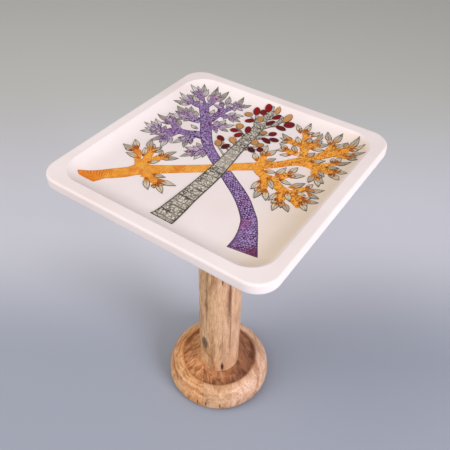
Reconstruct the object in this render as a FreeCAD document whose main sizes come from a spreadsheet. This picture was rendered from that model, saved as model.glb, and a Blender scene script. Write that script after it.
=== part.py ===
import FreeCAD, Part
import math
import os
import re

import Sketcher

# Pedestal side table: a square dished tray on a round column and a round turned base.
# Origin on the floor at the column's axis, +Z up, tray sides along X and Y, millimetres.

os.makedirs("parts", exist_ok=True)
doc = FreeCAD.newDocument("PedestalTable")
Vector = FreeCAD.Vector
Z_AXIS = Vector(0, 0, 1)
TOLERANCE = 0.01  # how near a face or edge lies to the level it is looked for at


# ---------------------------------------------------------------- driving dimensions

SIZES = [
    ("table_height", 457, "floor to the top of the rim"),
    ("tray_width", 305, "square tray, side to side"),
    ("tray_thick", 16, "rim top to underside"),
    ("tray_corner", 28, "outer corner radius, in plan"),
    ("rim_width", 15, "flat rim, from the outer side to the dish"),
    ("dish_corner", 32, "corner radius of the dish at the rim, in plan"),
    ("dish_depth", 8, "rim top to dish floor"),
    ("cove_width", 24, "width of the hollow curve between rim and floor"),
    ("rim_round", 3, "rounded upper edge of the rim"),
    ("under_round", 5, "rounded lower edge of the tray"),
    ("lip_round", 1.2, "softened edge where the dish starts"),
    ("board_count", 4, "boards glued edge to edge to make the tray"),
    ("cleat_width", 120, "square block under the tray"),
    ("cleat_thick", 18, "its thickness"),
    ("cleat_chamfer", 4, "its lower edges"),
    ("screw_spacing", 88, "square pattern of the cleat screws"),
    ("screw_head", 8, "countersunk head diameter"),
    ("screw_shank", 4, "screw diameter"),
    ("screw_length", 23, "overall length, flush with the cleat"),
    ("screw_point", 3.2, "length of the tapered point"),
    ("screw_tip", 0.8, "diameter at the end of the point"),
    ("drive_length", 4.8, "cross slot in the screw head, end to end"),
    ("drive_width", 1, "width and depth of that slot"),
    ("column_top", 63.4, "column diameter at the cleat"),
    ("column_foot", 65, "column diameter at the base"),
    ("column_chamfer", 1, "eased ends of the column"),
    ("saw_margin", 1, "how far a dividing slab stands past the piece it divides"),
    ("pad_diameter", 22, "felt pads"),
    ("pad_thick", 2.5, "felt pads"),
    ("pad_circle", 124, "diameter of the circle the pads sit on"),
    ("base_width", 168, "base at its widest"),
    ("base_height", 42, "underside to crest"),
    ("base_round", 6, "rounded lower edge of the base"),
    ("crest_width", 130, "diameter of the crest of the rolled edge"),
    ("roll_inner", 5, "radius of the roll's inner side"),
    ("recess_depth", 8, "crest to the recess floor"),
    ("seam_left", 25, "left glue seam, from the axis"),
    ("seam_right", 21, "right glue seam, from the axis"),
    ("seam_turn", 34, "glue seams, turned from Y towards -X, in degrees"),
    ("bolt_bore", 8, "bolts along the axis, and their holes"),
    ("lag_head", 13, "lag bolt head, across flats"),
    ("lag_head_thick", 5.5, "its height"),
    ("lag_into_column", 46, "length of the lag bolt inside the column"),
    ("lag_tip", 2, "diameter at the end of the lag bolt"),
    ("counterbore_width", 30, "hole for washer and bolt head under the base"),
    ("counterbore_depth", 14, "depth of that hole"),
    ("washer_width", 26, "washer diameter"),
    ("washer_thick", 2, "washer"),
    ("hanger_into_column", 36, "length of the hanger bolt inside the column"),
    ("hanger_into_nut", 12, "length of the hanger bolt above the column"),
    ("nut_flange", 24, "tee nut flange diameter"),
    ("nut_flange_thick", 1.6, "tee nut flange"),
    ("nut_barrel", 11, "tee nut barrel diameter"),
    ("nut_length", 12, "tee nut, overall"),
    ("dowel_width", 8, "dowel diameter"),
    ("dowel_length", 28, "dowels, half in each piece"),
    ("dowel_spacing", 36, "distance between the two dowels"),
]

sheet = doc.addObject("Spreadsheet::Sheet", "Sizes")
for row, (alias, value, note) in enumerate(SIZES, start=1):
    sheet.set(f"A{row}", alias)
    sheet.set(f"B{row}", str(value))
    sheet.set(f"C{row}", note)
    sheet.setAlias(f"B{row}", alias)
doc.recompute()


def size(alias):
    """The present value of one driving dimension."""
    return float(sheet.get(alias))


def on_sheet(formula):
    """Put the sheet's name before every alias in a formula."""
    aliases = {alias for alias, _, _ in SIZES}

    def full_name(match):
        word = match.group()
        return f"Sizes.{word}" if word in aliases else word

    return re.sub(r"[a-z_]+", full_name, formula)


def bind(thing, **formulas):
    """Bind an object's properties to formulas of the driving dimensions."""
    for prop, formula in formulas.items():
        thing.setExpression(prop, on_sheet(formula))


def place(thing, **formulas):
    """Bind the x, y or z of an object's placement to formulas of the driving dimensions."""
    for axis, formula in formulas.items():
        thing.setExpression(f".Placement.Base.{axis}", on_sheet(formula))


# Levels above the floor, as formulas.
BASE_Z = "pad_thick"
RECESS_Z = "(pad_thick + base_height - recess_depth)"
TRAY_Z = "(table_height - tray_thick)"
CLEAT_Z = "(table_height - tray_thick - cleat_thick)"
COLUMN_LENGTH = "(table_height - tray_thick - cleat_thick - pad_thick - base_height + recess_depth)"


# ---------------------------------------------------------------- sketch and body helpers

def new_body(name):
    body = doc.addObject("PartDesign::Body", name)
    body.Label = name
    return body


def origin_plane(body, role):
    for feature in body.Origin.OriginFeatures:
        if feature.Role == role:
            return feature
    raise RuntimeError(f"{body.Label} has no {role}")


def new_sketch(body, name, role="XY_Plane", height=None):
    """A sketch on one of the body's own origin planes, raised by a formula."""
    sketch = body.newObject("Sketcher::SketchObject", name)
    sketch.AttachmentSupport = [(origin_plane(body, role), "")]
    sketch.MapMode = "FlatFace"
    if height:
        sketch.setExpression(".AttachmentOffset.Base.z", on_sheet(height))
    return sketch


def dimension(sketch, name, kind, *where_and_formula):
    """A named sketch dimension bound to the sheet."""
    *where, value, formula = where_and_formula
    index = sketch.addConstraint(Sketcher.Constraint(kind, *where, value))
    sketch.renameConstraint(index, name)
    sketch.setExpression(f"Constraints.{name}", on_sheet(formula))


def rounded_square(sketch, width, corner, width_formula, corner_formula):
    """A square centred on the origin, with tangent corner arcs, starting midway up its right side."""
    half = width / 2
    flat = half - corner
    corners = [(1, 1), (-1, 1), (-1, -1), (1, -1)]
    ends = [(half, 0), (half, flat)]
    points = [Vector(x, y, 0) for x, y in ends]
    lines = [sketch.addGeometry(Part.LineSegment(points[0], points[1]))]
    arcs = []
    for number, (sx, sy) in enumerate(corners):
        centre = Vector(sx * flat, sy * flat, 0)
        start = number * math.pi / 2
        circle = Part.Circle(centre, Z_AXIS, corner)
        arcs.append(sketch.addGeometry(Part.ArcOfCircle(circle, start, start + math.pi / 2)))
        outward = Vector(math.cos(start + math.pi / 2), math.sin(start + math.pi / 2), 0)
        along = Vector(-outward.y, outward.x, 0)
        reach = 2 * flat if number < 3 else flat
        begin = centre + outward * corner
        lines.append(sketch.addGeometry(Part.LineSegment(begin, begin + along * reach)))
    for number in range(4):
        sketch.addConstraint(Sketcher.Constraint("Tangent", lines[number], 2, arcs[number], 1))
        sketch.addConstraint(Sketcher.Constraint("Tangent", arcs[number], 2, lines[number + 1], 1))
    sketch.addConstraint(Sketcher.Constraint("Coincident", lines[4], 2, lines[0], 1))
    for number in range(1, 4):
        sketch.addConstraint(Sketcher.Constraint("Equal", arcs[0], arcs[number]))
    for line in (lines[0], lines[2], lines[4]):
        sketch.addConstraint(Sketcher.Constraint("Vertical", line))
    for line in (lines[1], lines[3]):
        sketch.addConstraint(Sketcher.Constraint("Horizontal", line))
    sketch.addConstraint(Sketcher.Constraint("PointOnObject", lines[0], 1, -1))
    sketch.addConstraint(Sketcher.Constraint("Symmetric", arcs[0], 3, arcs[2], 3, -1, 1))
    dimension(sketch, "width", "DistanceX", lines[2], 1, lines[0], 1, width, width_formula)
    dimension(sketch, "depth", "DistanceY", lines[3], 1, lines[1], 1, width, width_formula)
    dimension(sketch, "corner", "Radius", arcs[0], corner, corner_formula)


def circles(sketch, centres, diameter, diameter_formula, x_formulas=None):
    """Equal circles on the X axis of a sketch."""
    first = None
    for number, x in enumerate(centres):
        circle = sketch.addGeometry(Part.Circle(Vector(x, 0, 0), Z_AXIS, diameter / 2))
        if x == 0:
            sketch.addConstraint(Sketcher.Constraint("Coincident", circle, 3, -1, 1))
        else:
            sketch.addConstraint(Sketcher.Constraint("PointOnObject", circle, 3, -1))
            start, end = ((-1, 1), (circle, 3)) if x > 0 else ((circle, 3), (-1, 1))
            dimension(sketch, f"place{number}", "DistanceX", *start, *end, abs(x), x_formulas)
        if first is None:
            first = circle
            dimension(sketch, "diameter", "Diameter", circle, diameter, diameter_formula)
        else:
            sketch.addConstraint(Sketcher.Constraint("Equal", first, circle))


def dowel_holes(sketch):
    """The two circles of a pair of dowels, on the X axis."""
    reach = size("dowel_spacing") / 2
    circles(sketch, (-reach, reach), size("dowel_width"), "dowel_width", "dowel_spacing / 2")


def pad(body, name, sketch, formula):
    feature = body.newObject("PartDesign::Pad", name)
    feature.Profile = sketch
    bind(feature, Length=formula)
    return feature


def pocket(body, name, sketch, formula, upward=False):
    """A pocket that cuts down from its sketch, or up into the solid above it."""
    before = body.Shape.Volume
    feature = body.newObject("PartDesign::Pocket", name)
    feature.Profile = sketch
    feature.Reversed = upward
    bind(feature, Length=formula)
    doc.recompute()
    if body.Shape.Volume > before - 1:
        raise RuntimeError(f"{name} cuts nothing")
    return feature


def edges_at(shape, wanted):
    """Names of the edges whose centre passes a test."""
    names = []
    for number, edge in enumerate(shape.Edges, start=1):
        if wanted(edge):
            names.append(f"Edge{number}")
    return names


def outline(sketch, points):
    """A closed run of straight lines through points, joined end to end."""
    count = len(points)
    lines = []
    for number in range(count):
        start = Vector(*points[number], 0)
        end = Vector(*points[(number + 1) % count], 0)
        lines.append(sketch.addGeometry(Part.LineSegment(start, end)))
    for number in range(count):
        following = lines[(number + 1) % count]
        sketch.addConstraint(Sketcher.Constraint("Coincident", lines[number], 2, following, 1))
    return lines


def level_lines(sketch, lines, flat):
    """Mark each line horizontal or vertical, as the letters h and v say; - leaves it free."""
    kinds = {"h": "Horizontal", "v": "Vertical"}
    for line, letter in zip(lines, flat):
        if letter in kinds:
            sketch.addConstraint(Sketcher.Constraint(kinds[letter], line))


def revolve(body, name, sketch):
    feature = body.newObject("PartDesign::Revolution", name)
    feature.Profile = sketch
    feature.ReferenceAxis = (sketch, ["V_Axis"])
    feature.Angle = 360
    return feature


# ---------------------------------------------------------------- tray

def make_tray_blank():
    """The whole tray in one piece, before it is divided into its boards."""
    body = new_body("tray_blank")
    plan = new_sketch(body, "TrayPlan", height=TRAY_Z)
    rounded_square(plan, size("tray_width"), size("tray_corner"), "tray_width", "tray_corner")
    block = pad(body, "TrayPad", plan, "tray_thick")
    doc.recompute()

    top = size("table_height")
    bottom = top - size("tray_thick")
    upper = body.newObject("PartDesign::Fillet", "RimRound")
    upper.Base = (block, edges_at(block.Shape, lambda e: e.BoundBox.ZMin > top - TOLERANCE))
    bind(upper, Radius="rim_round")
    doc.recompute()
    lower = body.newObject("PartDesign::Fillet", "UnderRound")
    lower.Base = (upper, edges_at(upper.Shape, lambda e: e.BoundBox.ZMax < bottom + TOLERANCE))
    bind(lower, Radius="under_round")
    doc.recompute()

    floor_width = "(tray_width - 2 * rim_width - 2 * cove_width)"
    floor_corner = "(dish_corner - cove_width)"
    flat = size("tray_width") - 2 * size("rim_width") - 2 * size("cove_width")
    floor = new_sketch(body, "DishFloor", height="table_height")
    rounded_square(floor, flat, size("dish_corner") - size("cove_width"), floor_width, floor_corner)
    pocket(body, "DishPocket", floor, "dish_depth")

    path = new_sketch(body, "CovePath", height="table_height")
    mouth = size("tray_width") - 2 * size("rim_width")
    rounded_square(path, mouth, size("dish_corner"), "(tray_width - 2 * rim_width)", "dish_corner")
    profile = cove_profile(body, mouth / 2)
    before = body.Shape.Volume
    cove = body.newObject("PartDesign::SubtractivePipe", "Cove")
    cove.Profile = profile
    cove.Spine = (path, [f"Edge{number}" for number in range(1, len(path.Shape.Edges) + 1)])
    doc.recompute()
    if body.Shape.Volume > before - 1:
        raise RuntimeError("the cove cuts nothing")

    def on_lip(edge):
        middle = edge.CenterOfMass
        inside = max(abs(middle.x), abs(middle.y)) < mouth / 2 + TOLERANCE
        return inside and edge.BoundBox.ZMin > top - TOLERANCE

    lip = body.newObject("PartDesign::Fillet", "LipRound")
    lip.Base = (cove, edges_at(cove.Shape, on_lip))
    bind(lip, Radius="lip_round")
    doc.recompute()
    return body


def cove_profile(body, mouth):
    """The hollow section between rim and dish floor: one arc that ends level at the floor."""
    width = size("cove_width")
    depth = size("dish_depth")
    top = size("table_height")
    radius = (width ** 2 + depth ** 2) / (2 * depth)
    sketch = new_sketch(body, "CoveProfile", role="XZ_Plane")
    floor_edge = Vector(mouth - width, top - depth, 0)
    corner = Vector(mouth - width, top, 0)
    start = Vector(mouth, top, 0)
    down = sketch.addGeometry(Part.LineSegment(corner, floor_edge))
    across = sketch.addGeometry(Part.LineSegment(start, corner))
    circle = Part.Circle(Vector(mouth - width, top - depth + radius, 0), Z_AXIS, radius)
    swing = math.asin(width / radius)
    arc = sketch.addGeometry(Part.ArcOfCircle(circle, -math.pi / 2, swing - math.pi / 2))
    sketch.addConstraint(Sketcher.Constraint("Coincident", across, 2, down, 1))
    sketch.addConstraint(Sketcher.Constraint("Coincident", arc, 2, across, 1))
    sketch.addConstraint(Sketcher.Constraint("Vertical", down))
    sketch.addConstraint(Sketcher.Constraint("Horizontal", across))
    sketch.addConstraint(Sketcher.Constraint("Perpendicular", down, 2, arc, 1))
    half_mouth = "(tray_width / 2 - rim_width)"
    dimension(sketch, "mouth", "DistanceX", -1, 1, across, 1, mouth, half_mouth)
    dimension(sketch, "level", "DistanceY", -1, 1, across, 1, top, "table_height")
    dimension(sketch, "depth", "DistanceY", down, 2, down, 1, depth, "dish_depth")
    dimension(sketch, "width", "DistanceX", across, 2, across, 1, width, "cove_width")
    return sketch


def make_tray_boards(blank):
    """Boards of equal width, side by side along Y, cut from the tray blank."""
    boards = []
    for number in range(int(size("board_count"))):
        slab = doc.addObject("Part::Box", f"BoardSlab{number + 1}")
        bind(
            slab,
            Length="tray_width + 2 * saw_margin",
            Width="tray_width / board_count",
            Height="tray_thick + 2 * saw_margin",
        )
        place(
            slab,
            x="-tray_width / 2 - saw_margin",
            y=f"tray_width * ({number} / board_count - 0.5)",
            z=f"{TRAY_Z} - saw_margin",
        )
        boards.append(common(f"tray_board_{number + 1}", blank, slab))
    return boards


def common(name, blank, slab):
    piece = doc.addObject("Part::Common", name)
    piece.Label = name
    piece.Base = blank
    piece.Tool = slab
    return piece


# ---------------------------------------------------------------- column

def make_column():
    """A slightly tapered post with eased ends, drilled along its axis and for the dowels."""
    body = new_body("column")
    low = size("pad_thick") + size("base_height") - size("recess_depth")
    high = size("table_height") - size("tray_thick") - size("cleat_thick")
    foot = size("column_foot") / 2
    head = size("column_top") / 2
    bore = size("bolt_bore") / 2
    low_bore = low + size("lag_into_column")
    high_bore = high - size("hanger_into_column")
    sketch = new_sketch(body, "ColumnProfile", role="XZ_Plane")
    outside = [(bore, low), (foot, low), (head, high), (bore, high)]
    inside = [(bore, high_bore), (0, high_bore), (0, low_bore), (bore, low_bore)]
    lines = outline(sketch, outside + inside)
    level_lines(sketch, lines, "h-hvhvhv")
    sketch.addConstraint(Sketcher.Constraint("PointOnObject", lines[5], 1, -2))
    sketch.addConstraint(Sketcher.Constraint("Vertical", lines[0], 1, lines[3], 1))
    dimension(sketch, "low", "DistanceY", -1, 1, lines[0], 1, low, RECESS_Z)
    dimension(sketch, "length", "DistanceY", lines[0], 2, lines[1], 2, high - low, COLUMN_LENGTH)
    dimension(sketch, "foot", "DistanceX", -1, 1, lines[0], 2, foot, "column_foot / 2")
    dimension(sketch, "head", "DistanceX", -1, 1, lines[1], 2, head, "column_top / 2")
    dimension(sketch, "bore", "DistanceX", -1, 1, lines[0], 1, bore, "bolt_bore / 2")
    drilled_depths = (("lag_into_column", lines[0], lines[7]), ("hanger_into_column", lines[4], lines[3]))
    for name, below, above in drilled_depths:
        dimension(sketch, name, "DistanceY", below, 1, above, 1, size(name), name)
    turned = revolve(body, "ColumnTurned", sketch)
    doc.recompute()

    def on_end_rim(edge):
        span = edge.BoundBox
        return span.XMax > head - TOLERANCE and span.ZLength < TOLERANCE

    rims = body.newObject("PartDesign::Chamfer", "ColumnEased")
    rims.Base = (turned, edges_at(turned.Shape, on_end_rim))
    bind(rims, Size="column_chamfer")
    doc.recompute()

    ends = (("Foot", RECESS_Z, True), ("Head", CLEAT_Z, False))
    for name, height, upward in ends:
        holes = new_sketch(body, f"{name}DowelHoles", height=height)
        dowel_holes(holes)
        pocket(body, f"{name}DowelPocket", holes, "dowel_length / 2", upward)
    return body


# ---------------------------------------------------------------- base

def make_base_blank():
    """The whole turned base: rolled edge, recess for the column, bolt hole and counterbore."""
    body = new_body("base_blank")
    low = size("pad_thick")
    crest_z = low + size("base_height")
    floor_z = crest_z - size("recess_depth")
    bore_z = low + size("counterbore_depth")
    widest = size("base_width") / 2
    crest = size("crest_width") / 2
    foot_round = size("base_round")
    roll = size("roll_inner")
    sink = size("recess_depth") - roll
    wall = crest - roll
    bore = size("bolt_bore") / 2
    counter = size("counterbore_width") / 2

    sketch = new_sketch(body, "BaseProfile", role="XZ_Plane")
    straight = [
        ((wall - sink, floor_z), (bore, floor_z)),
        ((bore, floor_z), (bore, bore_z)),
        ((bore, bore_z), (counter, bore_z)),
        ((counter, bore_z), (counter, low)),
        ((counter, low), (widest - foot_round, low)),
    ]
    lines = []
    for start, end in straight:
        lines.append(sketch.addGeometry(Part.LineSegment(Vector(*start, 0), Vector(*end, 0))))
    foot_circle = Part.Circle(Vector(widest - foot_round, low + foot_round, 0), Z_AXIS, foot_round)
    foot_arc = sketch.addGeometry(Part.ArcOfCircle(foot_circle, -math.pi / 2, 0))
    rise = crest_z - low - foot_round
    centre = Vector(crest, low + foot_round, 0)
    shoulder = Part.Ellipse(centre + Vector(0, rise, 0), centre + Vector(crest - widest, 0, 0), centre)
    shoulder_arc = sketch.addGeometry(Part.ArcOfEllipse(shoulder, -math.pi / 2, 0))
    roll_circle = Part.Circle(Vector(crest, crest_z - roll, 0), Z_AXIS, roll)
    roll_arc = sketch.addGeometry(Part.ArcOfCircle(roll_circle, math.pi / 2, math.pi))
    sink_circle = Part.Circle(Vector(wall - sink, floor_z + sink, 0), Z_AXIS, sink)
    sink_arc = sketch.addGeometry(Part.ArcOfCircle(sink_circle, -math.pi / 2, 0))

    for first, second in zip(lines, lines[1:]):
        sketch.addConstraint(Sketcher.Constraint("Coincident", first, 2, second, 1))
    level_lines(sketch, lines, "hvhvh")
    sketch.addConstraint(Sketcher.Constraint("Tangent", lines[4], 2, foot_arc, 1))
    sketch.addConstraint(Sketcher.Constraint("Coincident", foot_arc, 2, shoulder_arc, 1))
    sketch.addConstraint(Sketcher.Constraint("Coincident", shoulder_arc, 2, roll_arc, 1))
    sketch.addConstraint(Sketcher.Constraint("Coincident", roll_arc, 2, sink_arc, 2))
    sketch.addConstraint(Sketcher.Constraint("Tangent", sink_arc, 1, lines[0], 1))
    sketch.addConstraint(Sketcher.Constraint("Horizontal", foot_arc, 3, foot_arc, 2))
    sketch.addConstraint(Sketcher.Constraint("Horizontal", shoulder_arc, 3, shoulder_arc, 1))
    sketch.addConstraint(Sketcher.Constraint("Vertical", shoulder_arc, 3, shoulder_arc, 2))
    sketch.addConstraint(Sketcher.Constraint("Vertical", roll_arc, 3, roll_arc, 1))
    sketch.addConstraint(Sketcher.Constraint("Horizontal", roll_arc, 3, roll_arc, 2))
    sketch.addConstraint(Sketcher.Constraint("Horizontal", sink_arc, 3, sink_arc, 2))

    dimension(sketch, "low", "DistanceY", -1, 1, lines[3], 2, low, BASE_Z)
    dimension(sketch, "crest_z", "DistanceY", -1, 1, roll_arc, 1, crest_z, "pad_thick + base_height")
    dimension(sketch, "floor_z", "DistanceY", -1, 1, lines[0], 1, floor_z, RECESS_Z)
    dimension(sketch, "bore_z", "DistanceY", lines[3], 2, lines[3], 1, bore_z - low, "counterbore_depth")
    dimension(sketch, "bore", "DistanceX", -1, 1, lines[1], 2, bore, "bolt_bore / 2")
    dimension(sketch, "counter", "DistanceX", -1, 1, lines[3], 1, counter, "counterbore_width / 2")
    dimension(sketch, "widest", "DistanceX", -1, 1, foot_arc, 2, widest, "base_width / 2")
    dimension(sketch, "crest", "DistanceX", -1, 1, roll_arc, 1, crest, "crest_width / 2")
    dimension(sketch, "foot_round", "Radius", foot_arc, foot_round, "base_round")
    dimension(sketch, "roll", "Radius", roll_arc, roll, "roll_inner")
    revolve(body, "BaseTurned", sketch)
    doc.recompute()

    holes = new_sketch(body, "BaseDowelHoles", height=RECESS_Z)
    dowel_holes(holes)
    pocket(body, "BaseDowelPocket", holes, "dowel_length / 2")
    return body


def make_base_blocks(blank):
    """Three blocks side by side, divided by two glue seams that run across the base."""
    blocks = []
    spans = (
        ("base_block_left", "-base_width", "base_width - seam_left"),
        ("base_block_middle", "-seam_left", "seam_left + seam_right"),
        ("base_block_right", "seam_right", "base_width - seam_right"),
    )
    turn = "seam_turn * 1 deg"
    for name, start, width in spans:
        slab = doc.addObject("Part::Box", f"Slab_{name}")
        bind(slab, Length=width, Width="2 * base_width", Height="base_height + 2 * saw_margin")
        slab.setExpression(".Placement.Rotation.Angle", on_sheet(turn))
        place(
            slab,
            x=f"({start}) * cos({turn}) + base_width * sin({turn})",
            y=f"({start}) * sin({turn}) - base_width * cos({turn})",
            z=f"{BASE_Z} - saw_margin",
        )
        blocks.append(common(name, blank, slab))
    return blocks


# ---------------------------------------------------------------- cleat and fasteners

def make_cleat():
    """Square block with chamfered lower edges, drilled for the tee nut, dowels and screws."""
    body = new_body("top_cleat")
    plan = new_sketch(body, "CleatPlan", height=CLEAT_Z)
    half = size("cleat_width") / 2
    lines = outline(plan, [(-half, -half), (half, -half), (half, half), (-half, half)])
    level_lines(plan, lines, "hvhv")
    plan.addConstraint(Sketcher.Constraint("Symmetric", lines[0], 1, lines[2], 1, -1, 1))
    dimension(plan, "width", "DistanceX", lines[0], 1, lines[0], 2, 2 * half, "cleat_width")
    dimension(plan, "depth", "DistanceY", lines[1], 1, lines[1], 2, 2 * half, "cleat_width")
    block = pad(body, "CleatPad", plan, "cleat_thick")
    doc.recompute()

    bottom = size("table_height") - size("tray_thick") - size("cleat_thick")
    eased = body.newObject("PartDesign::Chamfer", "CleatEased")
    eased.Base = (block, edges_at(block.Shape, lambda e: e.BoundBox.ZMax < bottom + TOLERANCE))
    bind(eased, Size="cleat_chamfer")
    doc.recompute()

    cuts = (
        ("NutFlange", TRAY_Z, "nut_flange", "nut_flange_thick", False),
        ("NutBarrel", TRAY_Z, "nut_barrel", "nut_length", False),
        ("HangerHole", CLEAT_Z, "bolt_bore", "cleat_thick - nut_length", True),
    )
    for name, height, diameter, depth, upward in cuts:
        sketch = new_sketch(body, name, height=height)
        circles(sketch, (0,), size(diameter), diameter)
        pocket(body, f"{name}Pocket", sketch, depth, upward)

    holes = new_sketch(body, "CleatDowelHoles", height=CLEAT_Z)
    dowel_holes(holes)
    pocket(body, "CleatDowelPocket", holes, "dowel_length / 2", upward=True)
    return body


def at_corners(spacing):
    half = spacing / 2
    return [(sx * half, sy * half) for sx in (-1, 1) for sy in (-1, 1)]


def screw_solids():
    """One countersunk wood screw standing head down, its head face at the origin, plain and slotted."""
    head = size("screw_head") / 2
    shank = size("screw_shank") / 2
    length = size("screw_length")
    point = size("screw_point")
    slot = size("drive_width")
    reach = size("drive_length") / 2
    slope = head - shank
    cone = Part.makeCone(head, shank, slope)
    shaft = Part.makeCylinder(shank, length - slope - point, Vector(0, 0, slope))
    tip = Part.makeCone(shank, size("screw_tip") / 2, point, Vector(0, 0, length - point))
    plain = cone.fuse(shaft).fuse(tip)
    one_way = Part.makeBox(2 * reach, slot, slot, Vector(-reach, -slot / 2, 0))
    other_way = Part.makeBox(slot, 2 * reach, slot, Vector(-slot / 2, -reach, 0))
    return plain, plain.cut(one_way).cut(other_way).removeSplitter()


def shape_feature(name, shape):
    feature = doc.addObject("Part::Feature", name)
    feature.Label = name
    feature.Shape = shape
    return feature


def make_screws():
    """Four screws through the cleat into the tray, and the same shapes as a drill for their holes."""
    low = size("table_height") - size("tray_thick") - size("cleat_thick")
    plain, slotted = screw_solids()
    drills = []
    screws = []
    for x, y in at_corners(size("screw_spacing")):
        spot = Vector(x, y, low)
        drills.append(plain.translated(spot))
        screws.append(slotted.translated(spot))
    feature = shape_feature("cleat_screws", Part.makeCompound(screws))
    drill = shape_feature("ScrewDrill", Part.makeCompound(drills))
    return feature, drill


def hexagon(across_flats, height):
    """A regular hexagonal prism standing on the origin."""
    reach = across_flats / math.sqrt(3)
    corners = []
    for number in range(6):
        angle = number * math.pi / 3
        corners.append(Vector(reach * math.cos(angle), reach * math.sin(angle), 0))
    rim = Part.makePolygon(corners + corners[:1])
    return Part.Face(rim).extrude(Vector(0, 0, height))


def make_lag_bolt():
    """Hexagonal head under the washer, shank up through the base into the column."""
    washer_low = size("pad_thick") + size("counterbore_depth") - size("washer_thick")
    head_low = washer_low - size("lag_head_thick")
    top = size("pad_thick") + size("base_height") - size("recess_depth") + size("lag_into_column")
    bore = size("bolt_bore") / 2
    head = hexagon(size("lag_head"), size("lag_head_thick")).translated(Vector(0, 0, head_low))
    shank = Part.makeCylinder(bore, top - bore - washer_low, Vector(0, 0, washer_low))
    tip = Part.makeCone(bore, size("lag_tip") / 2, bore, Vector(0, 0, top - bore))
    return shape_feature("base_lag_bolt", head.fuse(shank).fuse(tip).removeSplitter())


def make_washer():
    body = new_body("base_washer")
    height = "pad_thick + counterbore_depth - washer_thick"
    sketch = new_sketch(body, "WasherPlan", height=height)
    for name in ("washer_width", "bolt_bore"):
        circle = sketch.addGeometry(Part.Circle(Vector(0, 0, 0), Z_AXIS, size(name) / 2))
        sketch.addConstraint(Sketcher.Constraint("Coincident", circle, 3, -1, 1))
        dimension(sketch, name, "Diameter", circle, size(name), name)
    pad(body, "WasherPad", sketch, "washer_thick")
    return body


def make_tee_nut():
    """Round flange flush with the cleat's top, with a bored barrel below it."""
    body = new_body("tee_nut")
    flange = new_sketch(body, "FlangePlan", height="table_height - tray_thick - nut_flange_thick")
    circles(flange, (0,), size("nut_flange"), "nut_flange")
    pad(body, "FlangePad", flange, "nut_flange_thick")
    barrel = new_sketch(body, "BarrelPlan", height="table_height - tray_thick - nut_length")
    circles(barrel, (0,), size("nut_barrel"), "nut_barrel")
    pad(body, "BarrelPad", barrel, "nut_length")
    doc.recompute()
    bore = new_sketch(body, "NutBore", height="table_height - tray_thick - nut_length")
    circles(bore, (0,), size("bolt_bore"), "bolt_bore")
    pocket(body, "NutBorePocket", bore, "nut_length", upward=True)
    return body


def make_hanger_bolt():
    """Threaded rod from the column's top up into the tee nut."""
    rod = doc.addObject("Part::Cylinder", "hanger_bolt")
    rod.Label = "hanger_bolt"
    bind(rod, Radius="bolt_bore / 2", Height="hanger_into_column + hanger_into_nut")
    place(rod, z=f"{CLEAT_Z} - hanger_into_column")
    return rod


def make_dowels(name, level):
    """A pair of dowels on the X axis, centred on the joint between two pieces."""
    pair = []
    for word, side in (("left", -1), ("right", 1)):
        dowel = doc.addObject("Part::Cylinder", f"{name}_{word}")
        bind(dowel, Radius="dowel_width / 2", Height="dowel_length")
        place(dowel, x=f"{side} * dowel_spacing / 2", z=f"{level} - dowel_length / 2")
        pair.append(dowel)
    group = doc.addObject("Part::Compound", name)
    group.Label = name
    group.Links = pair
    return group


def make_felt_pads():
    pads = []
    for number in range(4):
        felt = doc.addObject("Part::Cylinder", f"felt_pad_{number + 1}")
        felt.Label = f"felt_pad_{number + 1}"
        turn = f"{45 + 90 * number} deg"
        bind(felt, Radius="pad_diameter / 2", Height="pad_thick")
        place(felt, x=f"pad_circle / 2 * cos({turn})", y=f"pad_circle / 2 * sin({turn})")
        pads.append(felt)
    return pads


def drilled(piece, drill, name):
    """The piece with the screws' holes cut from it, under the piece's own node name."""
    cut = doc.addObject("Part::Cut", f"{name}_drilled")
    cut.Base = piece
    cut.Tool = drill
    piece.Label = f"{name}_undrilled"
    cut.Label = name
    return cut


# ---------------------------------------------------------------- assembly

screws, drill = make_screws()
pieces = []
for number, board in enumerate(make_tray_boards(make_tray_blank()), start=1):
    pieces.append(drilled(board, drill, f"tray_board_{number}"))
pieces.append(drilled(make_cleat(), drill, "top_cleat"))
pieces.append(screws)
pieces.append(make_tee_nut())
pieces.append(make_hanger_bolt())
pieces.append(make_dowels("top_dowels", CLEAT_Z))
pieces.append(make_column())
pieces.append(make_dowels("base_dowels", RECESS_Z))
pieces.extend(make_base_blocks(make_base_blank()))
pieces.append(make_washer())
pieces.append(make_lag_bolt())
pieces.extend(make_felt_pads())
doc.recompute()

faulty = [thing.Label for thing in doc.Objects if {"Invalid", "Error"} & set(thing.State)]
if faulty:
    raise RuntimeError(f"not computed: {faulty}")
for piece in pieces:
    if piece.Shape.isNull() or not piece.Shape.isValid():
        raise RuntimeError(f"bad shape: {piece.Label}")
for piece in pieces:
    piece.Shape.exportStep(f"parts/{piece.Label}.step")
    box = piece.Shape.BoundBox
    solids = len(piece.Shape.Solids)
    volume = piece.Shape.Volume / 1000
    print(f"{piece.Label}: {solids} solid(s), {volume:.1f} cm3, z {box.ZMin:.1f} to {box.ZMax:.1f}")
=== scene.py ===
import math
import random

import bmesh
import bpy
from mathutils import Matrix, Vector
from mathutils.bvhtree import BVHTree


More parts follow.
